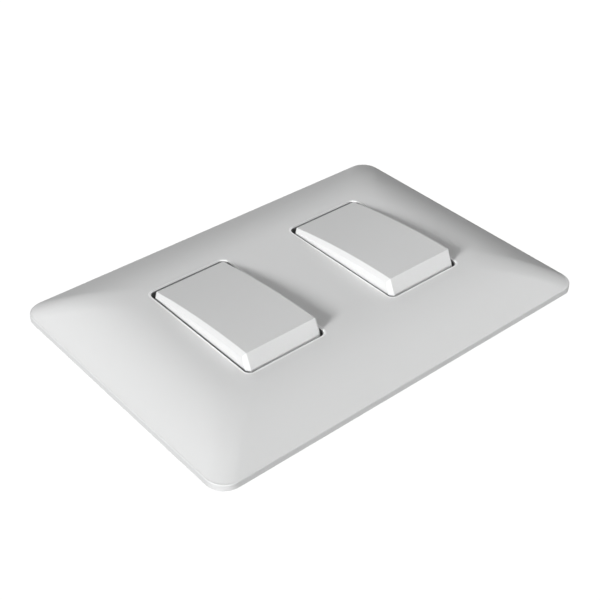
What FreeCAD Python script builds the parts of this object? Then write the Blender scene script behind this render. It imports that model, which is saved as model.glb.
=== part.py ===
import FreeCAD, Part
import math
import os
import Sketcher
from FreeCAD import Placement, Rotation, Vector

# Light switch: a landscape wall plate with two rocker switches on one mounting frame.
# Millimetres. +Z points out of the wall and +X along the plate's long side.
# The origin lies on the wall, in the middle of the plate.

# Driving sizes: name, value and what it is
SIZES = [
    ("plate_length", 120.0, "wall plate along X"),
    ("plate_width", 83.0, "wall plate along Y"),
    ("plate_corner", 5.0, "corner radius at the rim"),
    ("plate_height", 7.5, "top of the flat middle above the wall"),
    ("rim_height", 1.9, "upright edge of the rim"),
    ("rim_ledge", 0.35, "narrow step where the dome starts"),
    ("slope_run", 20.6, "width of the four slopes"),
    ("middle_corner", 6.2, "corner radius where a slope meets the middle"),
    ("plate_wall", 1.9, "wall of the plate"),
    ("window_width", 24.1, "window along X"),
    ("window_length", 40.5, "window along Y"),
    ("window_corner", 1.6, "corner radius of a window"),
    ("lip_bevel", 0.25, "bevel of a window's edge"),
    ("rim_bevel", 0.2, "bevel of the rim's front edge"),
    ("module_spacing", 46.5, "between the centres of the two switches"),
    ("fixing_spacing", 83.5, "between the wall box's two screws"),
    ("fixing_radius", 2.1, "half the width of a fixing slot"),
    ("fixing_slot", 8.0, "fixing slot from end to end"),
    ("frame_margin_x", 6.0, "frame set back from the plate's end"),
    ("frame_margin_y", 6.0, "frame set back from the plate's side"),
    ("frame_thickness", 2.0, "flange of the mounting frame"),
    ("tub_depth", 3.2, "frame's seat behind the wall face"),
    ("tub_wall", 1.4, "wall round the frame's seats"),
    ("tub_rise", 0.8, "seat wall above the flange"),
    ("web_skin", 1.6, "skin of the web between the seats"),
    ("web_rib", 1.4, "ribs behind the web"),
    ("seat_depth", 1.2, "module flange's seat behind the wall face"),
    ("seat_gap", 0.2, "clearance round a module in its seat"),
    ("hook_offset_x", 19.0, "plate hook from the middle along X"),
    ("hook_offset_y", 29.0, "plate hook from the middle along Y"),
    ("hook_width", 8.0, "plate hook along X"),
    ("hook_thickness", 1.4, "plate hook along Y"),
    ("hook_bite", 0.7, "how far a hook's barb reaches under its catch"),
    ("hook_gap", 0.3, "clearance between a hook and its catch"),
    ("hook_lift", 0.4, "lower end of a hook above the wall face"),
    ("plate_rib", 1.0, "thickness of the plate's ribs"),
    ("plate_rib_depth", 1.0, "ribs below the plate's inside"),
    ("case_width", 23.6, "switch case along X"),
    ("case_length", 36.0, "switch case along Y"),
    ("case_depth", 27.0, "back of the case behind the wall face"),
    ("case_wall", 1.4, "side walls of the case"),
    ("case_corner", 1.2, "upright corners of the case"),
    ("flange_margin", 1.9, "case's front flange beyond the window's short edges"),
    ("deck_top", 0.8, "front of the case above the wall face"),
    ("cover_thickness", 2.0, "rear cover"),
    ("cover_gap", 0.15, "clearance between rear cover and case"),
    ("lug_reach", 0.8, "snap lug beyond the case"),
    ("lug_height", 3.2, "snap lug along Z"),
    ("lug_width", 7.4, "snap lug along X"),
    ("hinge_height", 3.2, "rocker's pivot axis above the wall face"),
    ("rest_tilt", 4.8, "rocker's tilt each side of level, in degrees"),
    ("pin_radius", 1.2, "rocker's pivot pins"),
    ("pin_gap", 0.06, "running clearance of a pin in its ear"),
    ("ear_gap", 0.4, "bearing ear to the rocker's long wall"),
    ("ear_thickness", 1.6, "bearing ear along X"),
    ("ear_radius", 2.2, "rounded top of a bearing ear"),
    ("rocker_side_gap", 0.5, "rocker's skirt to the window's long edges"),
    ("rocker_end_gap", 0.32, "rocker's skirt to the window's short edges, when level"),
    ("rocker_end_lean", 1.65, "how far the rocker's end faces lean in"),
    ("rocker_edge", 6.55, "end edges of the top above the pivot axis"),
    ("rocker_crown", 0.8, "rise of the top's arc over its end edges"),
    ("rocker_skirt_top", 1.8, "start of the sloping end faces above the pivot axis"),
    ("rocker_skirt_low", 0.2, "lower edge of the skirt below the pivot axis"),
    ("rocker_wall", 1.3, "wall of the rocker"),
    ("rocker_bevel", 1.0, "bevel of the rocker's upright corners and of its top's long edges"),
    ("rocker_roof", 1.75, "top wall of the rocker at its end edges"),
    ("tab_drop", 1.7, "pin tabs below the pivot axis"),
    ("tab_length", 7.0, "pin tabs along Y"),
    ("tab_foot", 4.2, "lower edge of a pin tab along Y"),
    ("rocker_rib", 1.3, "thickness of the rib inside the rocker"),
    ("tube_radius", 2.7, "plunger tube"),
    ("tube_bore", 1.7, "bore of the plunger tube"),
    ("tube_low", 7.6, "mouth of the plunger tube below the pivot axis"),
    ("tube_clearance", 0.9, "space round the plunger tube in the deck"),
    ("plunger_radius", 1.45, "plunger's shaft"),
    ("plunger_tip", 1.1, "radius of the plunger's round tip"),
    ("plunger_top", 2.2, "plunger's shoulder below the pivot axis"),
    ("plunger_spigot", 0.75, "radius of the spigot inside the spring"),
    ("spigot_length", 2.2, "spigot above the plunger's shoulder"),
    ("spring_wire", 0.36, "spring's square wire"),
    ("spring_turns", 3, "turns of the plunger spring"),
    ("spring_gap", 0.1, "clearance of the spring at its ends"),
    ("blade_height", 12.0, "blade's pivot edge behind the wall face"),
    ("blade_tilt", 6.0, "blade's tilt each side of level, in degrees"),
    ("blade_length", 15.0, "contact blade along Y"),
    ("blade_width", 4.6, "contact blade along X"),
    ("blade_thickness", 0.8, "contact blade"),
    ("blade_corner", 1.1, "corner radius of the blade"),
    ("groove_depth", 0.2, "groove under the blade"),
    ("groove_width", 0.8, "groove under the blade along Y"),
    ("tip_gap", 0.2, "plunger's tip over the level blade"),
    ("contact_offset", 5.9, "contacts from the blade's pivot"),
    ("contact_radius", 1.3, "contacts"),
    ("contact_thickness", 0.6, "contacts"),
    ("contact_gap", 0.2, "space left between the closed contacts"),
    ("knife_height", 2.2, "knife edge over its strip"),
    ("knife_base", 1.4, "foot of the knife edge along Y"),
    ("knife_gap", 0.15, "blade over the knife edge"),
    ("strip_thickness", 0.8, "brass strips"),
    ("strip_width", 5.0, "brass strips along X"),
    ("strip_margin", 0.5, "strip beyond what stands on it"),
    ("barrier_thickness", 0.8, "barrier between the strips"),
    ("pillar_size", 7.0, "terminal pillars along X and Y"),
    ("pillar_offset", 12.7, "pillars from the module's middle"),
    ("wire_radius", 1.8, "wire entry through cover and pillar"),
    ("wire_depth", 8.5, "wire bore inside a pillar"),
    ("screw_height", 19.5, "screw axis behind the wall face"),
    ("screw_radius", 1.5, "terminal screw's shank"),
    ("screw_gap", 0.05, "shank's clearance in its pillar"),
    ("screw_head", 2.1, "terminal screw's head"),
    ("head_height", 1.4, "terminal screw's head along its axis"),
    ("head_gap", 0.3, "clearance of the head in the case wall"),
    ("head_slot", 0.7, "screwdriver slot, width and depth"),
]

doc = FreeCAD.newDocument("light_switch")
sheet = doc.addObject("Spreadsheet::Sheet", "Sizes")


class Size:
    """A length that carries both its value and its formula over the sheet."""

    def __init__(self, value, text):
        self.value = value
        self.text = text

    def __add__(self, other):
        return join(self, "+", other, self.value + plain(other))

    def __radd__(self, other):
        return join(other, "+", self, plain(other) + self.value)

    def __sub__(self, other):
        return join(self, "-", other, self.value - plain(other))

    def __rsub__(self, other):
        return join(other, "-", self, plain(other) - self.value)

    def __mul__(self, other):
        return join(self, "*", other, self.value * plain(other))

    def __rmul__(self, other):
        return join(other, "*", self, plain(other) * self.value)

    def __truediv__(self, other):
        return join(self, "/", other, self.value / plain(other))

    def __neg__(self):
        return join(0, "-", self, -self.value)


def plain(value):
    return value.value if isinstance(value, Size) else float(value)


def formula(value):
    return value.text if isinstance(value, Size) else repr(float(value))


def join(left, sign, right, value):
    return Size(value, "(%s %s %s)" % (formula(left), sign, formula(right)))


def fill_sheet():
    sizes = {}
    for row, (name, value, note) in enumerate(SIZES, 1):
        sheet.set("A%d" % row, name)
        sheet.set("B%d" % row, str(value))
        sheet.setAlias("B%d" % row, name)
        sheet.set("C%d" % row, note)
        sizes[name] = Size(float(value), "Sizes.%s" % name)
    doc.recompute()
    return sizes


size = fill_sheet()


# Sketches and features


def bind(item, path, value):
    if isinstance(value, Size):
        item.setExpression(path, value.text)


def pin_point(sketch, piece, point, x, y):
    for letter, axis, value in (("X", -2, x), ("Y", -1, y)):
        if plain(value) == 0:
            sketch.addConstraint(Sketcher.Constraint("PointOnObject", piece, point, axis))
            continue
        place = Sketcher.Constraint("Distance" + letter, -1, 1, piece, point, plain(value))
        bind(sketch, "Constraints[%d]" % sketch.addConstraint(place), value)


def set_radius(sketch, piece, radius):
    index = sketch.addConstraint(Sketcher.Constraint("Radius", piece, plain(radius)))
    bind(sketch, "Constraints[%d]" % index, radius)


def polygon(*points):
    def draw(sketch):
        count = len(points)
        first = sketch.GeometryCount
        for index, (x, y) in enumerate(points):
            next_x, next_y = points[(index + 1) % count]
            start = Vector(plain(x), plain(y), 0)
            sketch.addGeometry(Part.LineSegment(start, Vector(plain(next_x), plain(next_y), 0)))
        for index, (x, y) in enumerate(points):
            after = first + (index + 1) % count
            sketch.addConstraint(Sketcher.Constraint("Coincident", first + index, 2, after, 1))
            pin_point(sketch, first + index, 1, x, y)
    return draw


def rectangle(low_x, high_x, low_y, high_y):
    return polygon((low_x, low_y), (high_x, low_y), (high_x, high_y), (low_x, high_y))


def circle(x, y, radius):
    def draw(sketch):
        middle = Vector(plain(x), plain(y), 0)
        piece = sketch.addGeometry(Part.Circle(middle, Vector(0, 0, 1), plain(radius)))
        pin_point(sketch, piece, 3, x, y)
        set_radius(sketch, piece, radius)
    return draw


def corner_arc(sketch, x, y, radius, turn):
    middle = Vector(plain(x), plain(y), 0)
    start = math.radians(turn)
    ring = Part.Circle(middle, Vector(0, 0, 1), plain(radius))
    piece = sketch.addGeometry(Part.ArcOfCircle(ring, start, start + math.pi / 2))
    pin_point(sketch, piece, 3, x, y)
    set_radius(sketch, piece, radius)
    return piece


def rounded(half_x, half_y, radius, middle_x=0):
    def draw(sketch):
        arcs = []
        for sign_x, sign_y, turn in ((1, 1, 0), (-1, 1, 90), (-1, -1, 180), (1, -1, 270)):
            x = middle_x + sign_x * (half_x - radius)
            arcs.append(corner_arc(sketch, x, sign_y * (half_y - radius), radius, turn))
        for index, arc in enumerate(arcs):
            after = arcs[(index + 1) % 4]
            start = sketch.Geometry[arc].EndPoint
            line = sketch.addGeometry(Part.LineSegment(start, sketch.Geometry[after].StartPoint))
            sketch.addConstraint(Sketcher.Constraint("Tangent", arc, 2, line, 1))
            sketch.addConstraint(Sketcher.Constraint("Tangent", line, 2, after, 1))
    return draw


def slot(middle_x, half_length, radius):
    def draw(sketch):
        ends = []
        for sign in (1, -1):
            x = middle_x + sign * (half_length - radius)
            start = -sign * math.pi / 2
            ring = Part.Circle(Vector(plain(x), 0, 0), Vector(0, 0, 1), plain(radius))
            piece = sketch.addGeometry(Part.ArcOfCircle(ring, start, start + math.pi))
            pin_point(sketch, piece, 3, x, 0)
            ends.append(piece)
        set_radius(sketch, ends[0], radius)
        for here, there in (ends, ends[::-1]):
            start = sketch.Geometry[here].EndPoint
            line = sketch.addGeometry(Part.LineSegment(start, sketch.Geometry[there].StartPoint))
            sketch.addConstraint(Sketcher.Constraint("Tangent", here, 2, line, 1))
            sketch.addConstraint(Sketcher.Constraint("Tangent", line, 2, there, 1))
    return draw


def new_body(label):
    body = doc.addObject("PartDesign::Body", label)
    body.Label = label
    return body


def attach(body, item, plane, lift):
    """Sets a sketch or a solid on one of the body's own planes, lifted along its axis."""
    base = [feature for feature in body.Origin.OriginFeatures if feature.Role == plane][0]
    item.AttachmentSupport = (base, [""])
    item.MapMode = "FlatFace"
    # The XZ plane's normal points along -Y
    lift = -lift if plane == "XZ_Plane" else lift
    item.AttachmentOffset = Placement(Vector(0, 0, plain(lift)), Rotation())
    bind(item, "AttachmentOffset.Base.z", lift)


def add_sketch(body, plane, lift, shapes):
    sketch = body.newObject("Sketcher::SketchObject", body.Name + "_sketch")
    attach(body, sketch, plane, lift)
    for draw in shapes:
        draw(sketch)
    return sketch


def check_volume(body, feature, before, grows):
    doc.recompute()
    after = body.Shape.Volume
    if (after > before) != grows or abs(after - before) < 1e-6:
        raise RuntimeError("%s changed nothing in %s" % (feature.Name, body.Label))


def slab(body, kind, plane, low, high, *shapes):
    """Pad or Pocket between two heights along the plane's axis."""
    before = body.Shape.Volume if body.Tip else 0.0
    sketch = add_sketch(body, plane, (low + high) / 2, shapes)
    feature = body.newObject("PartDesign::" + kind, body.Name + "_" + kind.lower())
    feature.Profile = sketch
    feature.SideType = "Symmetric"
    feature.Length = plain(high - low)
    bind(feature, "Length", high - low)
    check_volume(body, feature, before, kind == "Pad")
    return feature


def banded_loft(body, kind, sections):
    """A solid of flat-sided bands between sections at several heights."""
    before = body.Shape.Volume if body.Tip else 0.0
    sketches = [add_sketch(body, "XY_Plane", height, [draw]) for height, draw in sections]
    feature = body.newObject("PartDesign::" + kind, body.Name + "_loft")
    feature.Profile = sketches[0]
    feature.Sections = [(sketch, [""]) for sketch in sketches[1:]]
    feature.Ruled = True
    check_volume(body, feature, before, kind == "AdditiveLoft")
    return feature


def ease_edges(body, kind, amount, chosen):
    """Fillet or Chamfer of the chosen edges."""
    before = body.Shape.Volume
    base = body.Tip
    names = ["Edge%d" % number for number, edge in enumerate(base.Shape.Edges, 1) if chosen(edge)]
    if not names:
        raise RuntimeError("no edge to ease in " + body.Label)
    feature = body.newObject("PartDesign::" + kind, body.Name + "_" + kind.lower())
    feature.Base = (base, names)
    path = "Radius" if kind == "Fillet" else "Size"
    setattr(feature, path, plain(amount))
    bind(feature, path, amount)
    check_volume(body, feature, before, False)


def at_height(edge, height):
    box = edge.BoundBox
    return abs(box.ZMin - plain(height)) < 1e-4 and abs(box.ZMax - plain(height)) < 1e-4


def place(body, x, z, tilt=0):
    """Puts a body's own origin at (x, 0, z), tilted about the X axis."""
    body.Placement = Placement(Vector(plain(x), 0, plain(z)), Rotation(Vector(1, 0, 0), plain(tilt)))
    bind(body, "Placement.Base.x", x)
    bind(body, "Placement.Base.z", z)
    bind(body, "Placement.Rotation.Angle", tilt)


nodes = []


def finish(body, x=0, z=0, tilt=0):
    place(body, x, z, tilt)
    nodes.append(body)
    return body


# Shared places

plate_half_x = size["plate_length"] / 2
plate_half_y = size["plate_width"] / 2
module_x = size["module_spacing"] / 2
ledge_low = -size["tub_depth"]
seat_top = -size["seat_depth"]
case_half_x = size["case_width"] / 2
case_half_y = size["case_length"] / 2
case_back = -size["case_depth"]
cover_top = size["cover_thickness"] - size["case_depth"]
blade_under = -size["blade_height"]
strip_top = blade_under - size["knife_gap"] - size["knife_height"]
strip_low = strip_top - size["strip_thickness"]
pillar_half = size["pillar_size"] / 2
flange_half_y = size["window_length"] / 2 + size["flange_margin"]
rocker_base_x = size["window_width"] / 2 - size["rocker_side_gap"]
rocker_base_y = size["window_length"] / 2 - size["rocker_end_gap"]
rocker_top_y = rocker_base_y - size["rocker_end_lean"]
rocker_inside_x = rocker_base_x - size["rocker_wall"]
ear_outer = rocker_inside_x - size["ear_gap"]
ear_inner = ear_outer - size["ear_thickness"]


def dome_height(share):
    """Height of the plate's outside, from 0 at the rim to 1 at the flat middle."""
    rise = size["plate_height"] - size["rim_height"]
    return size["rim_height"] + rise * (1 - (1 - share) * (1 - share))


def dome_section(share, inset, drop):
    """One level of the dome, set back by the slope and, inside the plate, by its wall."""
    back = size["rim_ledge"] + share * (size["slope_run"] - size["rim_ledge"]) + inset
    radius = size["plate_corner"] + share * (size["middle_corner"] - size["plate_corner"])
    height = dome_height(share) - drop
    return height, rounded(plate_half_x - back, plate_half_y - back, radius)


# Wall plate

DOME_BANDS = 8
dome_shares = [level / DOME_BANDS for level in range(DOME_BANDS + 1)]
HOOK_SIDES = [(sign_x, sign_y) for sign_x in (-1, 1) for sign_y in (-1, 1)]


def make_wall_plate():
    body = new_body("wall_plate")
    outline = rounded(plate_half_x, plate_half_y, size["plate_corner"])
    slab(body, "Pad", "XY_Plane", 0, size["rim_height"], outline)
    banded_loft(body, "AdditiveLoft", [dome_section(share, 0, 0) for share in dome_shares])
    wall = size["plate_wall"]
    # The inside follows the same bands, and the wall thins towards the rim
    rim_skin = size["rim_height"] / 2
    inside = []
    for share in dome_shares:
        drop = rim_skin + share * (wall - rim_skin)
        inside.append(dome_section(share, wall - size["rim_ledge"], drop))
    banded_loft(body, "SubtractiveLoft", inside)
    mouth = rounded(plate_half_x - wall, plate_half_y - wall, size["plate_corner"])
    slab(body, "Pocket", "XY_Plane", 0, size["rim_height"] - rim_skin, mouth)
    windows = []
    for side in (-1, 1):
        windows.append(rounded(size["window_width"] / 2, size["window_length"] / 2,
                               size["window_corner"], side * module_x))
    slab(body, "Pocket", "XY_Plane", size["rim_height"], size["plate_height"] + wall, *windows)
    ease_edges(body, "Chamfer", size["lip_bevel"],
               lambda edge: at_height(edge, size["plate_height"]) and in_window(edge))
    ease_edges(body, "Chamfer", size["rim_bevel"],
               lambda edge: at_height(edge, size["rim_height"]) and on_outline(edge))
    add_plate_hooks(body)
    add_plate_ribs(body)
    return finish(body)


def in_window(edge):
    """True for a window's edges, and not for those round the flat middle."""
    box = edge.BoundBox
    half = plain(size["window_width"]) / 2
    reach = plain(size["window_length"]) / 2
    near = min(abs(box.Center.x - side * plain(module_x)) for side in (-1, 1))
    return near < half + 1e-4 and abs(box.Center.y) < reach + 1e-4


def on_outline(edge):
    """True for the outer edges of the rim."""
    box = edge.BoundBox
    ledge = plain(size["rim_ledge"]) / 2
    far_x = max(abs(box.XMin), abs(box.XMax)) > plain(plate_half_x) - ledge
    far_y = max(abs(box.YMin), abs(box.YMax)) > plain(plate_half_y) - ledge
    return far_x or far_y


def add_plate_hooks(body):
    # A hook hangs from the dome's wall, and its barb points to the plate's long edge
    back = plate_half_y - size["hook_offset_y"] - size["hook_thickness"]
    share = (back - size["rim_ledge"]) / (size["slope_run"] - size["rim_ledge"])
    root = dome_height(share) - size["plate_wall"] / 2
    low = size["hook_lift"]
    for sign_x, sign_y in HOOK_SIDES:
        middle = sign_x * size["hook_offset_x"]
        half = size["hook_width"] / 2
        inner = sign_y * size["hook_offset_y"]
        outer = sign_y * (size["hook_offset_y"] + size["hook_thickness"])
        slab(body, "Pad", "XY_Plane", low, root,
             rectangle(middle - half, middle + half, inner, outer))
        tooth = sign_y * (size["hook_offset_y"] + size["hook_thickness"] + size["hook_bite"])
        catch = size["frame_thickness"] / 2
        slab(body, "Pad", "YZ_Plane", middle - half, middle + half,
             polygon((outer, low), (tooth, low + size["hook_gap"]),
                     (tooth, catch - size["hook_gap"] / 2), (outer, catch - size["hook_gap"] / 2)))


def add_plate_ribs(body):
    # Two ribs stiffen the band between the windows
    roof = size["plate_height"] - size["plate_wall"]
    half = size["plate_rib"] / 2
    reach = plate_half_y - size["slope_run"]
    for side in (-1, 1):
        x = side * (module_x - size["window_width"] / 2 - size["plate_wall"])
        slab(body, "Pad", "XY_Plane", roof - size["plate_rib_depth"], roof + size["plate_wall"] / 2,
             rectangle(x - half, x + half, -reach, reach))


wall_plate = make_wall_plate()


# Mounting frame

frame_half_x = plate_half_x - size["frame_margin_x"]
frame_half_y = plate_half_y - size["frame_margin_y"]
seat_half_x = case_half_x + size["seat_gap"]
seat_half_y = flange_half_y + size["seat_gap"]
throat_half_y = case_half_y + size["seat_gap"]
tub_half_x = module_x + seat_half_x + size["tub_wall"]
tub_half_y = seat_half_y + size["tub_wall"]


def make_mounting_frame():
    body = new_body("mounting_frame")
    top = size["frame_thickness"]
    slab(body, "Pad", "XY_Plane", 0, top, rounded(frame_half_x, frame_half_y, size["plate_corner"]))
    slab(body, "Pad", "XY_Plane", ledge_low, top + size["tub_rise"],
         rounded(tub_half_x, tub_half_y, size["seat_gap"] + size["case_corner"] + size["tub_wall"]))
    for side in (-1, 1):
        middle = side * module_x
        slab(body, "Pocket", "XY_Plane", seat_top, top + size["tub_rise"],
             rectangle(middle - seat_half_x, middle + seat_half_x, -seat_half_y, seat_half_y))
        slab(body, "Pocket", "XY_Plane", ledge_low, seat_top,
             rectangle(middle - seat_half_x, middle + seat_half_x, -throat_half_y, throat_half_y))
    add_web_pockets(body)
    slots = [slot(side * size["fixing_spacing"] / 2, size["fixing_slot"] / 2, size["fixing_radius"])
             for side in (-1, 1)]
    slab(body, "Pocket", "XY_Plane", 0, top, *slots)
    add_hook_catches(body)
    return finish(body)


def add_web_pockets(body):
    # The web between the seats is hollowed from both sides and keeps a skin and two ribs
    half = module_x - seat_half_x - size["tub_wall"]
    pitch = seat_half_y * 2 / 3
    reach = (pitch - size["web_rib"]) / 2
    for cell in (-1, 0, 1):
        slab(body, "Pocket", "XY_Plane", ledge_low, 0,
             rectangle(-half, half, cell * pitch - reach, cell * pitch + reach))
    slab(body, "Pocket", "XY_Plane", size["web_skin"], size["frame_thickness"] + size["tub_rise"],
         rectangle(-half, half, -seat_half_y, seat_half_y))


def add_hook_catches(body):
    # Each hook passes a slot that is wider behind a step, where the barb catches
    gap = size["hook_gap"]
    half = size["hook_width"] / 2 + gap
    inner = size["hook_offset_y"] - gap
    outer = size["hook_offset_y"] + size["hook_thickness"] + gap
    for sign_x, sign_y in HOOK_SIDES:
        middle = sign_x * size["hook_offset_x"]
        slab(body, "Pocket", "XY_Plane", 0, size["frame_thickness"],
             rectangle(middle - half, middle + half, sign_y * inner, sign_y * outer))
        slab(body, "Pocket", "XY_Plane", 0, size["frame_thickness"] / 2,
             rectangle(middle - half, middle + half, sign_y * outer,
                       sign_y * (outer + size["hook_bite"])))


mounting_frame = make_mounting_frame()


# Switch modules, built about their own middle and set out along X


def make_housing(side, x):
    body = new_body(side + "_housing")
    deck_top = size["deck_top"]
    slab(body, "Pad", "XY_Plane", case_back, seat_top,
         rounded(case_half_x, case_half_y, size["case_corner"]))
    slab(body, "Pad", "XY_Plane", seat_top, deck_top,
         rounded(case_half_x, flange_half_y, size["case_corner"]))
    wall = size["case_wall"]
    slab(body, "Pocket", "XY_Plane", case_back, seat_top,
         rectangle(wall - case_half_x, case_half_x - wall, wall - case_half_y, case_half_y - wall))
    # The plunger tube swings through a window in the deck
    half = size["tube_radius"] + size["tube_clearance"]
    swing = math.tan(math.radians(plain(size["rest_tilt"])))
    throw = swing * (size["hinge_height"] + size["seat_depth"])
    slab(body, "Pocket", "XY_Plane", seat_top, deck_top,
         rectangle(-half, half, -half - throw, half + throw))
    add_ears(body)
    # Square windows for the screwdriver in both end walls
    half = size["screw_head"] + size["head_gap"]
    axis = -size["screw_height"]
    slab(body, "Pocket", "XZ_Plane", -case_half_y, case_half_y,
         rectangle(-half, half, axis - half, axis + half))
    add_snap_lugs(body)
    return finish(body, x)


def add_ears(body):
    height = size["hinge_height"]
    reach = size["ear_radius"]
    for sign in (-1, 1):
        near = sign * ear_inner
        far = sign * ear_outer
        low, high = (near, far) if sign > 0 else (far, near)
        slab(body, "Pad", "YZ_Plane", low, high, rectangle(-reach, reach, size["deck_top"], height))
        slab(body, "Pad", "YZ_Plane", low, high, circle(0, height, reach))
        slab(body, "Pocket", "YZ_Plane", low, high,
             circle(0, height, size["pin_radius"] + size["pin_gap"]))


def add_snap_lugs(body):
    # Sloping teeth hold the case under the frame's ledges
    top = ledge_low - size["seat_gap"] / 2
    half = size["lug_width"] / 2
    reach = size["lug_reach"]
    for sign in (-1, 1):
        wall = sign * case_half_y
        tip = sign * (case_half_y + reach)
        slab(body, "Pad", "YZ_Plane", -half, half,
             polygon((wall, top), (tip, top), (tip, top - reach), (wall, top - size["lug_height"])))


def make_rear_cover(side, x):
    body = new_body(side + "_rear_cover")
    inner_x = case_half_x - size["case_wall"] - size["cover_gap"]
    inner_y = case_half_y - size["case_wall"] - size["cover_gap"]
    slab(body, "Pad", "XY_Plane", case_back, cover_top,
         rectangle(-inner_x, inner_x, -inner_y, inner_y))
    # The pedestal carries both strips, and a low barrier keeps them apart
    back = size["pillar_offset"] - pillar_half - size["cover_gap"]
    slab(body, "Pad", "XY_Plane", cover_top, strip_low,
         rectangle(-size["strip_width"] / 2, size["strip_width"] / 2, -back, back))
    barrier = size["barrier_thickness"] / 2
    middle = (terminal_end("common") + terminal_end("switched")) / 2
    slab(body, "Pad", "XY_Plane", strip_low, strip_top,
         rectangle(-size["strip_width"] / 2, size["strip_width"] / 2,
                   middle - barrier, middle + barrier))
    entries = [circle(0, sign * size["pillar_offset"], size["wire_radius"]) for sign in (-1, 1)]
    slab(body, "Pocket", "XY_Plane", case_back, cover_top, *entries)
    return finish(body, x)


def rocker_side(sketch):
    """Side view of the rocker: skirt, sloping ends and the arc of the top."""
    base_y = rocker_base_y
    top_y = rocker_top_y
    edge = size["rocker_edge"]
    crown = size["rocker_crown"]
    low = -size["rocker_skirt_low"]
    shoulder = size["rocker_skirt_top"]
    points = [(-top_y, edge), (-base_y, shoulder), (-base_y, low), (base_y, low),
              (base_y, shoulder), (top_y, edge)]
    for (x, y), (next_x, next_y) in zip(points, points[1:]):
        start = Vector(plain(x), plain(y), 0)
        sketch.addGeometry(Part.LineSegment(start, Vector(plain(next_x), plain(next_y), 0)))
    radius = (top_y * top_y + crown * crown) / (2 * crown)
    swing = math.asin(plain(top_y) / plain(radius))
    ring = Part.Circle(Vector(0, plain(edge + crown - radius), 0), Vector(0, 0, 1), plain(radius))
    arc = sketch.addGeometry(Part.ArcOfCircle(ring, math.pi / 2 - swing, math.pi / 2 + swing))
    for line in range(arc):
        pin_point(sketch, line, 1, *points[line])
        sketch.addConstraint(Sketcher.Constraint("Coincident", line, 2, line + 1, 1))
    pin_point(sketch, arc, 1, *points[-1])
    sketch.addConstraint(Sketcher.Constraint("Coincident", arc, 2, 0, 1))
    set_radius(sketch, arc, radius)


def make_rocker(side, x):
    body = new_body(side + "_rocker")
    slab(body, "Pad", "YZ_Plane", -rocker_base_x, rocker_base_x, rocker_side)
    ease_edges(body, "Chamfer", size["rocker_bevel"], rocker_outer_edge)
    hollow_rocker(body)
    add_rocker_pins(body)
    add_plunger_tube(body)
    return finish(body, x, size["hinge_height"], -size["rest_tilt"])


def rocker_outer_edge(edge):
    """True for the edges that aren't level: the upright corners and the long arcs of the top."""
    return edge.BoundBox.ZLength > 1e-4


def hollow_rocker(body):
    wall = size["rocker_wall"]
    low = -size["rocker_skirt_low"]
    shoulder = size["rocker_skirt_top"]
    roof = size["rocker_edge"] - size["rocker_roof"]
    base_y = rocker_base_y - wall
    top_y = rocker_top_y - wall
    slab(body, "Pocket", "YZ_Plane", -rocker_inside_x, rocker_inside_x,
         polygon((-base_y, low), (base_y, low), (base_y, shoulder), (top_y, roof),
                 (-top_y, roof), (-base_y, shoulder)))


def add_rocker_pins(body):
    # Tabs below the long walls carry the pivot pins, which point inwards
    half = size["tab_length"] / 2
    foot = size["tab_foot"] / 2
    inner = rocker_inside_x
    outer = rocker_base_x
    reach = ear_inner - size["pin_gap"]
    for sign in (-1, 1):
        low, high = (inner, outer) if sign > 0 else (-outer, -inner)
        slab(body, "Pad", "YZ_Plane", low, high,
             polygon((-half, 0), (-foot, -size["tab_drop"]), (foot, -size["tab_drop"]), (half, 0)))
        low, high = (reach, inner) if sign > 0 else (-inner, -reach)
        slab(body, "Pad", "YZ_Plane", low, high, circle(0, 0, size["pin_radius"]))


def add_plunger_tube(body):
    roof = size["rocker_edge"] - size["rocker_roof"]
    mouth = -size["tube_low"]
    half = size["rocker_rib"] / 2
    wall = size["rocker_wall"] / 2
    # A rib along the middle ties the tube to the top and to both end walls
    base_y = rocker_base_y - wall
    top_y = rocker_top_y - wall
    shoulder = size["rocker_skirt_top"]
    slab(body, "Pad", "YZ_Plane", -half, half,
         polygon((-base_y, shoulder), (base_y, shoulder), (top_y, roof), (-top_y, roof)))
    slab(body, "Pad", "XY_Plane", mouth, roof + wall, circle(0, 0, size["tube_radius"]))
    slab(body, "Pocket", "XY_Plane", mouth, roof, circle(0, 0, size["tube_bore"]))


def plunger_centre():
    """Height of the tip's centre over the pivot axis, with the rocker level."""
    blade_top = size["blade_thickness"] - size["blade_height"]
    return blade_top + size["tip_gap"] + size["plunger_tip"] - size["hinge_height"]


def make_plunger(side, x):
    body = new_body(side + "_plunger")
    tip = plunger_centre()
    top = -size["plunger_top"]
    neck = size["plunger_tip"]
    slab(body, "Pad", "XY_Plane", tip + neck, top, circle(0, 0, size["plunger_radius"]))
    slab(body, "Pad", "XY_Plane", tip, tip + neck, circle(0, 0, neck))
    slab(body, "Pad", "XY_Plane", top, top + size["spigot_length"],
         circle(0, 0, size["plunger_spigot"]))
    before = body.Shape.Volume
    ball = body.newObject("PartDesign::AdditiveSphere", body.Name + "_tip")
    ball.Radius = plain(neck)
    bind(ball, "Radius", neck)
    attach(body, ball, "XY_Plane", tip)
    check_volume(body, ball, before, True)
    return finish(body, x, size["hinge_height"], -size["rest_tilt"])


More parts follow.
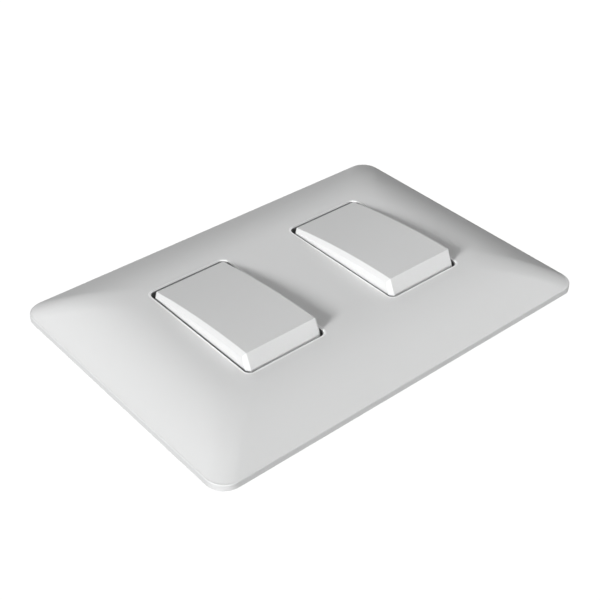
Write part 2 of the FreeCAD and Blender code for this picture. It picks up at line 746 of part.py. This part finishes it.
def make_spring(side, x):
    # A coil of square wire between the plunger's shoulder and the tube's closed end
    body = new_body(side + "_plunger_spring")
    wire = size["spring_wire"] / 2
    low = size["spring_gap"] + wire - size["plunger_top"]
    roof = size["rocker_edge"] - size["rocker_roof"]
    high = roof - size["spring_gap"] - wire
    radius = size["tube_bore"] - size["spring_gap"] - wire
    section = rectangle(radius - wire, radius + wire, low - wire, low + wire)
    sketch = add_sketch(body, "XZ_Plane", 0, [section])
    feature = body.newObject("PartDesign::AdditiveHelix", body.Name + "_coil")
    feature.Profile = sketch
    feature.ReferenceAxis = (sketch, ["V_Axis"])
    feature.Mode = "height-turns-angle"
    feature.Height = plain(high - low)
    bind(feature, "Height", high - low)
    feature.Turns = plain(size["spring_turns"])
    bind(feature, "Turns", size["spring_turns"])
    check_volume(body, feature, 0, True)
    return finish(body, x, size["hinge_height"], -size["rest_tilt"])


def make_blade(side, x):
    body = new_body(side + "_contact_blade")
    half_x = size["blade_width"] / 2
    half_y = size["blade_length"] / 2
    outline = rounded(half_x, half_y, size["blade_corner"])
    slab(body, "Pad", "XY_Plane", 0, size["blade_thickness"], outline)
    # A shallow groove across the underside sits on the knife edge
    half = size["groove_width"] / 2
    slab(body, "Pocket", "YZ_Plane", -half_x, half_x,
         polygon((-half, 0), (half, 0), (0, size["groove_depth"])))
    return finish(body, x, blade_under, size["blade_tilt"])


def make_contact(label, x, z, tilt, low):
    body = new_body(label)
    slab(body, "Pad", "XY_Plane", low, low + size["contact_thickness"],
         circle(0, size["contact_offset"], size["contact_radius"]))
    return finish(body, x, z, tilt)


def closed_contact_top():
    """Top of the fixed contact, just under the moving one when the blade is tipped on to it."""
    swing = math.sin(math.radians(plain(size["blade_tilt"])))
    fall = size["contact_offset"] * swing
    return blade_under - size["contact_thickness"] - fall - size["contact_gap"]


def make_terminal(side, x, name, sign):
    body = new_body("%s_%s_terminal" % (side, name))
    middle = sign * size["pillar_offset"]
    slab(body, "Pad", "XY_Plane", cover_top, strip_top,
         rectangle(-pillar_half, pillar_half, middle - pillar_half, middle + pillar_half))
    start = sign * (size["pillar_offset"] - pillar_half)
    stop = terminal_end(name)
    slab(body, "Pad", "XY_Plane", strip_low, strip_top,
         rectangle(-size["strip_width"] / 2, size["strip_width"] / 2, start, stop))
    if name == "common":
        half = size["knife_base"] / 2
        slab(body, "Pad", "YZ_Plane", -size["blade_width"] / 2, size["blade_width"] / 2,
             polygon((-half, strip_top), (half, strip_top), (0, strip_top + size["knife_height"])))
    else:
        # A short post lifts the fixed contact to the blade
        slab(body, "Pad", "XY_Plane", strip_top, closed_contact_top() - size["contact_thickness"],
             circle(0, size["contact_offset"], size["contact_radius"]))
    slab(body, "Pocket", "XY_Plane", cover_top, cover_top + size["wire_depth"],
         circle(0, middle, size["wire_radius"]))
    face = sign * (size["pillar_offset"] + pillar_half)
    ends = (middle, face) if sign > 0 else (face, middle)
    slab(body, "Pocket", "XZ_Plane", ends[0], ends[1],
         circle(0, -size["screw_height"], size["screw_radius"] + size["screw_gap"]))
    return finish(body, x)


def terminal_end(name):
    """Inner end of a terminal's strip along Y."""
    if name == "common":
        return size["knife_base"] / 2 + size["strip_margin"]
    return size["contact_offset"] - size["contact_radius"] - size["strip_margin"]


def make_screw(side, x, name, sign):
    """Clamping screw, backed out so that the wire bore is free."""
    body = new_body("%s_%s_screw" % (side, name))
    face = size["pillar_offset"] + pillar_half + size["cover_gap"]
    tip = size["pillar_offset"] + size["wire_radius"] + size["cover_gap"]
    top = face + size["head_height"]
    axis = -size["screw_height"]

    def span(low, high):
        return (low, high) if sign > 0 else (-high, -low)

    slab(body, "Pad", "XZ_Plane", *span(tip, face), circle(0, axis, size["screw_radius"]))
    slab(body, "Pad", "XZ_Plane", *span(face, top), circle(0, axis, size["screw_head"]))
    cut = size["head_slot"]
    slab(body, "Pocket", "XZ_Plane", *span(top - cut, top),
         rectangle(-size["screw_head"], size["screw_head"], axis - cut / 2, axis + cut / 2))
    return finish(body, x)


for side, sign in (("left", -1), ("right", 1)):
    x = sign * module_x
    make_housing(side, x)
    make_rear_cover(side, x)
    make_rocker(side, x)
    make_plunger(side, x)
    make_spring(side, x)
    make_blade(side, x)
    thickness = size["contact_thickness"]
    make_contact(side + "_moving_contact", x, blade_under, size["blade_tilt"], -thickness)
    make_contact(side + "_fixed_contact", x, 0, 0, closed_contact_top() - thickness)
    make_terminal(side, x, "common", -1)
    make_terminal(side, x, "switched", 1)
    make_screw(side, x, "common", -1)
    make_screw(side, x, "switched", 1)


# Checks and export

doc.recompute()
for item in doc.Objects:
    if "Invalid" in item.State or "Error" in item.State:
        raise RuntimeError("%s failed: %s" % (item.Name, item.State))
os.makedirs("parts", exist_ok=True)
for body in nodes:
    shape = body.Shape
    if shape.isNull() or not shape.isValid() or len(shape.Solids) != 1:
        raise RuntimeError(body.Label + " is not one valid solid")
    box = shape.BoundBox
    print("%-26s %9.1f mm3  x %7.2f %7.2f  y %7.2f %7.2f  z %7.2f %7.2f" % (
        body.Label, shape.Volume, box.XMin, box.XMax, box.YMin, box.YMax, box.ZMin, box.ZMax))
    shape.exportStep("parts/%s.step" % body.Label)
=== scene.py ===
import math

import bpy
from mathutils import Matrix, Vector


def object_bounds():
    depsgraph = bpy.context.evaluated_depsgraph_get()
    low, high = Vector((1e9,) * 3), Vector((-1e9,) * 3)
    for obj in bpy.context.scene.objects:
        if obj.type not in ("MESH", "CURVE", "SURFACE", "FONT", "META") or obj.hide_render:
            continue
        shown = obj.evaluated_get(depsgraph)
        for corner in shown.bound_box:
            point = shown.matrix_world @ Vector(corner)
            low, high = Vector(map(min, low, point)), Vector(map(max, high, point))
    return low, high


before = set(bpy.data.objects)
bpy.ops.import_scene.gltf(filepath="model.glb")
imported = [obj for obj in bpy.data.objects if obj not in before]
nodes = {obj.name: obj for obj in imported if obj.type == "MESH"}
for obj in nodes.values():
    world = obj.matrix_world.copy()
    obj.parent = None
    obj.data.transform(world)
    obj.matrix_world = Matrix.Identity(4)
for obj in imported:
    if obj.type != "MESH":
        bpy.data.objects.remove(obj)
lowest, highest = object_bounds()
print("loaded", len(nodes), "nodes")


# A socket in an expression: (grain - 0.5) * 0.2 adds the Math nodes that it names
class Value:
    def __init__(self, shader, socket):
        self.shader = shader
        self.socket = socket

    def __add__(self, other):
        return self.shader.maths("ADD", self, other)

    def __sub__(self, other):
        return self.shader.maths("SUBTRACT", self, other)

    def __rsub__(self, other):
        return self.shader.maths("SUBTRACT", other, self)

    def __mul__(self, other):
        return self.shader.maths("MULTIPLY", self, other)

    __radd__ = __add__
    __rmul__ = __mul__


class Shader:
    def __init__(self, name):
        self.material = bpy.data.materials.new(name)
        self.material.use_nodes = True
        self.tree = self.material.node_tree
        self.surface = self.tree.nodes["Principled BSDF"]

    # Settings come first: they decide which of the sockets that share a name is in use
    def node(self, kind, settings=None, inputs=None):
        made = self.tree.nodes.new(kind)
        for name, value in (settings or {}).items():
            setattr(made, name, value)
        for key, value in (inputs or {}).items():
            fits = [slot for place, slot in enumerate(made.inputs)
                    if key == place or (key == slot.name and slot.enabled)]
            self.put(fits[0], value)
        return {slot.name: Value(self, slot) for slot in made.outputs if slot.enabled}

    def put(self, socket, value):
        if isinstance(value, Value):
            self.tree.links.new(value.socket, socket)
        else:
            socket.default_value = value

    def finish(self, sockets):
        for name, value in sockets.items():
            self.put(self.surface.inputs[name], value)
        return self.material

    def maths(self, operation, first, second=0.0):
        return self.node("ShaderNodeMath", {"operation": operation}, {0: first, 1: second})["Value"]

    def place(self):
        return self.node("ShaderNodeTexCoord")["Object"]

    def stretched(self, scale):
        return self.node("ShaderNodeMapping", {}, {"Vector": self.place(), "Scale": scale})["Vector"]

    def noise(self, scale, detail, vector=None):
        inputs = {"Vector": vector or self.place(), "Scale": scale, "Detail": detail}
        return self.node("ShaderNodeTexNoise", {}, inputs)["Fac"]

    def mix(self, share, first, second):
        inputs = {"Factor": share, "A": first, "B": second}
        return self.node("ShaderNodeMix", {"data_type": "RGBA"}, inputs)["Result"]

    def bump(self, height, strength, distance):
        inputs = {"Height": height, "Strength": strength, "Distance": distance}
        return self.node("ShaderNodeBump", {}, inputs)["Normal"]

    # 1 up to the start, 0 beyond the end
    def fade(self, value, start, end):
        inputs = {"Value": value, "From Min": start, "From Max": end, "To Min": 1.0, "To Max": 0.0}
        return self.node("ShaderNodeMapRange", {"interpolation_type": "SMOOTHSTEP"}, inputs)["Result"]


moulding = {"refraction": 1.49, "flowDark": 0.985, "flowDetail": 2.0, "glossSpread": 0.08, "grainDetail": 3.0}
rolling = {"stainScale": 220.0, "detail": 3.0, "glossSpread": 0.18, "streakStrength": 0.06,
           "streakDepth": 0.00002}


# A near-neutral colour: a grey level with small shares added to its red and its blue
def tint(level, shift):
    red, blue = shift
    return (level * (1 + red), level, level * (1 + blue), 1)


# How far a point of the plate lies outside the nearer window's outline
def windowDistance(shader, window):
    parts = shader.node("ShaderNodeSeparateXYZ", {}, {"Vector": shader.place()})
    straightX = window["halfWidth"] - window["corner"]
    straightY = window["halfLength"] - window["corner"]
    sideways = shader.maths("ABSOLUTE", shader.maths("ABSOLUTE", parts["X"]) - window["offset"])
    across = shader.maths("MAXIMUM", sideways - straightX, 0.0)
    along = shader.maths("MAXIMUM", shader.maths("ABSOLUTE", parts["Y"]) - straightY, 0.0)
    return shader.maths("SQRT", across * across + along * along) - window["corner"]


# Moulded plastic: a fine grain, slow mottling of the gloss and a trace of flow in the colour
def plastic(look):
    shader = Shader(look["slot"])
    grain = shader.noise(look["grainScale"], moulding["grainDetail"])
    flow = shader.noise(look["flowScale"], moulding["flowDetail"])
    colour = shader.mix(flow, tint(look["level"] * moulding["flowDark"], look["shift"]),
                        tint(look["level"], look["shift"]))
    if "window" in look:
        # Painted highlight: lighter colour round each window's lip; painted shade: darker colour on the
        # window walls down in the joint
        window = look["window"]
        distance = windowDistance(shader, window)
        paintedHighlight = shader.fade(distance, window["lipEnd"], window["plateStart"])
        paintedShade = shader.fade(distance, window["wallEnd"], window["lipStart"])
        colour = shader.mix(paintedHighlight, colour, tint(window["paintedHighlightLevel"], look["shift"]))
        # Painted shade: the window walls made darker where the joint lies in shade
        colour = shader.mix(paintedShade, colour, tint(window["paintedShadeLevel"], look["shift"]))
    spread = moulding["glossSpread"]
    return shader.finish({"Base Color": colour, "IOR": moulding["refraction"],
                          "Roughness": flow * spread + (look["roughness"] - spread / 2),
                          "Normal": shader.bump(grain, look["grainStrength"], look["grainDepth"])})


# Rolled or turned metal: long streaks along one axis and a faint stain
def metal(look):
    shader = Shader(look["slot"])
    streaks = shader.noise(look["streakScale"], rolling["detail"], shader.stretched(look["streakAlong"]))
    stain = shader.noise(rolling["stainScale"], rolling["detail"])
    spread = rolling["glossSpread"]
    return shader.finish({"Base Color": shader.mix(stain, look["dark"], look["light"]), "Metallic": 1.0,
                          "Roughness": streaks * spread + (look["roughness"] - spread / 2),
                          "Normal": shader.bump(streaks, rolling["streakStrength"], rolling["streakDepth"])})


# A piece by its name, or the same piece of both switches
def pieces(kind):
    return [nodes[name] for name in (kind, "left_" + kind, "right_" + kind) if name in nodes]


def paint(finish, look, *kinds):
    material = finish(look)
    for kind in kinds:
        for node in pieces(kind):
            node.data.materials.clear()
            node.data.materials.append(material)


joining = {"weldReach": 0.000001, "flatAngle": 0.4}


# The loaded faces are split along their edges: joined again, shading can run from one to the next
def join(node):
    weld = node.modifiers.new("weld", "WELD")
    weld.merge_threshold = joining["weldReach"]
    node.data.shade_smooth()


def even(node):
    shaded = node.modifiers.new("shaded", "WEIGHTED_NORMAL")
    shaded.keep_sharp = False


# A small rounding along all edges that turn by more than the angle
def roundEdges(kind, edge):
    for node in pieces(kind):
        join(node)
        flat = node.modifiers.new("flat", "DECIMATE")
        flat.decimate_type = "DISSOLVE"
        flat.angle_limit = math.radians(joining["flatAngle"])
        bevel = node.modifiers.new("edges", "BEVEL")
        bevel.width = edge["width"]
        bevel.segments = edge["segments"]
        bevel.limit_method = "ANGLE"
        bevel.angle_limit = math.radians(edge["angle"])
        bevel.use_clamp_overlap = True
        bevel.miter_outer = "MITER_ARC"
        even(node)


# Shading runs on over edges that turn by less than the angle, so bands read as one surface
def blendBands(kind, angle):
    for node in pieces(kind):
        join(node)
        split = node.modifiers.new("crease", "EDGE_SPLIT")
        split.split_angle = math.radians(angle)
        split.use_edge_sharp = False
        even(node)


# Looks: widths and depths in metres, angles in degrees, noise scales in waves per metre

# Wall plate: satin white, its dome shaded as one surface, with a painted highlight round each window and
# painted shade on the window walls
plateLook = {"slot": "plate_white",
             "level": 0.785, "shift": (-0.006, -0.001), "roughness": 0.42, "grainScale": 2600.0,
             "grainStrength": 0.3, "grainDepth": 0.00003, "flowScale": 28.0, "creaseAngle": 12,
             "window": {"offset": 0.02325, "halfWidth": 0.01205, "halfLength": 0.02025, "corner": 0.0016,
                        "wallEnd": 0.00004, "lipStart": 0.00008, "lipEnd": 0.0006, "plateStart": 0.0008,
                        "paintedShadeLevel": 0.3, "paintedHighlightLevel": 0.95}}
paint(plastic, plateLook, "wall_plate")
blendBands("wall_plate", plateLook["creaseAngle"])

# Rockers: the same white, a trace smoother
rockerLook = {"slot": "rocker_white",
              "level": 0.785, "shift": (-0.006, -0.001), "roughness": 0.40, "grainScale": 3000.0,
              "grainStrength": 0.3, "grainDepth": 0.00003, "flowScale": 40.0,
              "edge": {"width": 0.00035, "angle": 30, "segments": 3}}
paint(plastic, rockerLook, "rocker")
roundEdges("rocker", rockerLook["edge"])
print("finished the plate and its rockers")

# Mounting frame: mid grey
frameLook = {"slot": "frame_grey",
             "level": 0.19, "shift": (0.01, -0.01), "roughness": 0.52, "grainScale": 1400.0,
             "grainStrength": 0.35, "grainDepth": 0.00003, "flowScale": 60.0, "creaseAngle": 20}
paint(plastic, frameLook, "mounting_frame")
blendBands("mounting_frame", frameLook["creaseAngle"])

# Cases and their rear covers: black and dark grey
caseLook = {"slot": "case_dark",
            "level": 0.012, "shift": (0.0, 0.0), "roughness": 0.55, "grainScale": 1200.0,
            "grainStrength": 0.4, "grainDepth": 0.00004, "flowScale": 60.0,
            "edge": {"width": 0.00015, "angle": 40, "segments": 2}}
paint(plastic, caseLook, "housing")
roundEdges("housing", caseLook["edge"])

coverLook = {"slot": "cover_grey",
             "level": 0.05, "shift": (0.01, -0.01), "roughness": 0.5, "grainScale": 1200.0,
             "grainStrength": 0.35, "grainDepth": 0.00003, "flowScale": 60.0, "creaseAngle": 20}
paint(plastic, coverLook, "rear_cover")
blendBands("rear_cover", coverLook["creaseAngle"])
print("finished the frame and the cases")

# Plungers: natural nylon on steel springs
nylonLook = {"slot": "nylon",
             "level": 0.6, "shift": (0.05, -0.05), "roughness": 0.38, "grainScale": 2400.0,
             "grainStrength": 0.15, "grainDepth": 0.00002, "flowScale": 300.0}
paint(plastic, nylonLook, "plunger")

springLook = {"slot": "spring_steel",
              "dark": (0.30, 0.30, 0.31, 1), "light": (0.46, 0.46, 0.47, 1), "roughness": 0.3,
              "streakScale": 900.0, "streakAlong": (1.0, 1.0, 0.2)}
paint(metal, springLook, "plunger_spring")

# Blades and their silver contacts
bladeLook = {"slot": "blade_brass",
             "dark": (0.62, 0.42, 0.17, 1), "light": (0.78, 0.56, 0.26, 1), "roughness": 0.3,
             "streakScale": 1800.0, "streakAlong": (1.0, 0.08, 1.0)}
paint(metal, bladeLook, "contact_blade")

contactLook = {"slot": "contact_silver",
               "dark": (0.68, 0.67, 0.64, 1), "light": (0.86, 0.85, 0.82, 1), "roughness": 0.26,
               "streakScale": 2500.0, "streakAlong": (1.0, 1.0, 1.0)}
paint(metal, contactLook, "moving_contact", "fixed_contact")

# Brass terminals with their steel screws
terminalLook = {"slot": "terminal_brass",
                "dark": (0.56, 0.38, 0.15, 1), "light": (0.72, 0.52, 0.24, 1), "roughness": 0.36,
                "streakScale": 1500.0, "streakAlong": (0.1, 1.0, 1.0)}
paint(metal, terminalLook, "common_terminal", "switched_terminal")

screwLook = {"slot": "screw_steel",
             "dark": (0.50, 0.51, 0.52, 1), "light": (0.68, 0.69, 0.70, 1), "roughness": 0.28,
             "streakScale": 2500.0, "streakAlong": (1.0, 0.2, 1.0)}
paint(metal, screwLook, "common_screw", "switched_screw")
print("finished the switch works")

# Floor and a low backdrop far away: plain white that glows by itself, as a lit sweep does
room = {"reach": 3.0, "height": 0.8, "corners": 48, "glow": 1.05, "drop": 0.0005}
paper = Shader("paper").finish({"Base Color": (0, 0, 0, 1), "Roughness": 1.0, "IOR": 1.0,
                                "Emission Color": (1, 1, 1, 1), "Emission Strength": room["glow"]})


def sheet(name, points, faces):
    data = bpy.data.meshes.new(name)
    data.from_pydata(points, [], faces)
    data.materials.append(paper)
    made = bpy.data.objects.new(name, data)
    bpy.context.scene.collection.objects.link(made)
    # Only seen: no light from a sheet falls on the object
    made.visible_diffuse = False
    made.visible_glossy = False


count = room["corners"]
ring = [2 * math.pi * corner / count for corner in range(count)]
low = [(math.cos(turn) * room["reach"], math.sin(turn) * room["reach"], lowest.z - room["drop"])
       for turn in ring]
high = [(x, y, z + room["height"]) for x, y, z in low]
sheet("floor", low, [list(range(count))])
sheet("backdrop", low + high, [(corner, (corner + 1) % count, (corner + 1) % count + count, corner + count)
                               for corner in range(count)])

# Lamps: where each sun stands and how soft it is, in degrees
lamps = {"key": {"bearing": 188, "height": 24, "strength": 3.0, "softness": 17},
         "front": {"bearing": 270, "height": 12, "strength": 3.9, "softness": 20},
         "right": {"bearing": 0, "height": 12, "strength": 0.6, "softness": 25},
         "back": {"bearing": 90, "height": 30, "strength": 0.45, "softness": 25}}
daylight = {"strength": 0.14}
for name, lamp in lamps.items():
    data = bpy.data.lights.new(name, "SUN")
    data.energy = lamp["strength"]
    data.angle = math.radians(lamp["softness"])
    made = bpy.data.objects.new(name, data)
    bearing, height = math.radians(lamp["bearing"]), math.radians(lamp["height"])
    source = Vector((math.cos(bearing) * math.cos(height), math.sin(bearing) * math.cos(height),
                     math.sin(height)))
    made.rotation_mode = "QUATERNION"
    made.rotation_quaternion = source.to_track_quat("Z", "Y")
    bpy.context.scene.collection.objects.link(made)
world = bpy.data.worlds.new("studio")
world.use_nodes = True
world.node_tree.nodes["Background"].inputs["Color"].default_value = (1, 1, 1, 1)
world.node_tree.nodes["Background"].inputs["Strength"].default_value = daylight["strength"]
bpy.context.scene.world = world
print("set the stage and its", len(lamps), "lamps")

# Camera at the photo's angle: its direction in degrees, its distance in metres and its lens in millimetres
view = {"azimuth": -41.607, "elevation": 36.860, "pan": -0.295, "tilt": 0.054, "roll": -1.307,
        "distance": 0.301975, "lens": 69.03, "sensor": 36, "near": 0.01, "far": 20}
azimuth, elevation = math.radians(view["azimuth"]), math.radians(view["elevation"])
back = Vector((math.sin(azimuth) * math.cos(elevation), -math.cos(azimuth) * math.cos(elevation),
               math.sin(elevation)))
forward = -back
right = forward.cross(Vector((0, 0, 1))).normalized()
down = forward.cross(right)
aim = (Matrix.Rotation(math.radians(view["pan"]), 3, down)
       @ Matrix.Rotation(math.radians(view["tilt"]), 3, right))
right, down, forward = aim @ right, aim @ down, aim @ forward
spin = Matrix.Rotation(math.radians(view["roll"]), 3, forward)
right, down = spin @ right, spin @ down
cameraData = bpy.data.cameras.new("camera")
cameraData.sensor_width = view["sensor"]
cameraData.lens = view["lens"]
cameraData.clip_start = view["near"]
cameraData.clip_end = view["far"]
camera = bpy.data.objects.new("camera", cameraData)
axes = Matrix((right, -down, -forward)).transposed().to_4x4()
camera.matrix_world = Matrix.Translation(back * view["distance"]) @ axes
bpy.context.scene.collection.objects.link(camera)
bpy.context.scene.camera = camera
bpy.context.scene.view_settings.view_transform = "Standard"

print("placed the camera")
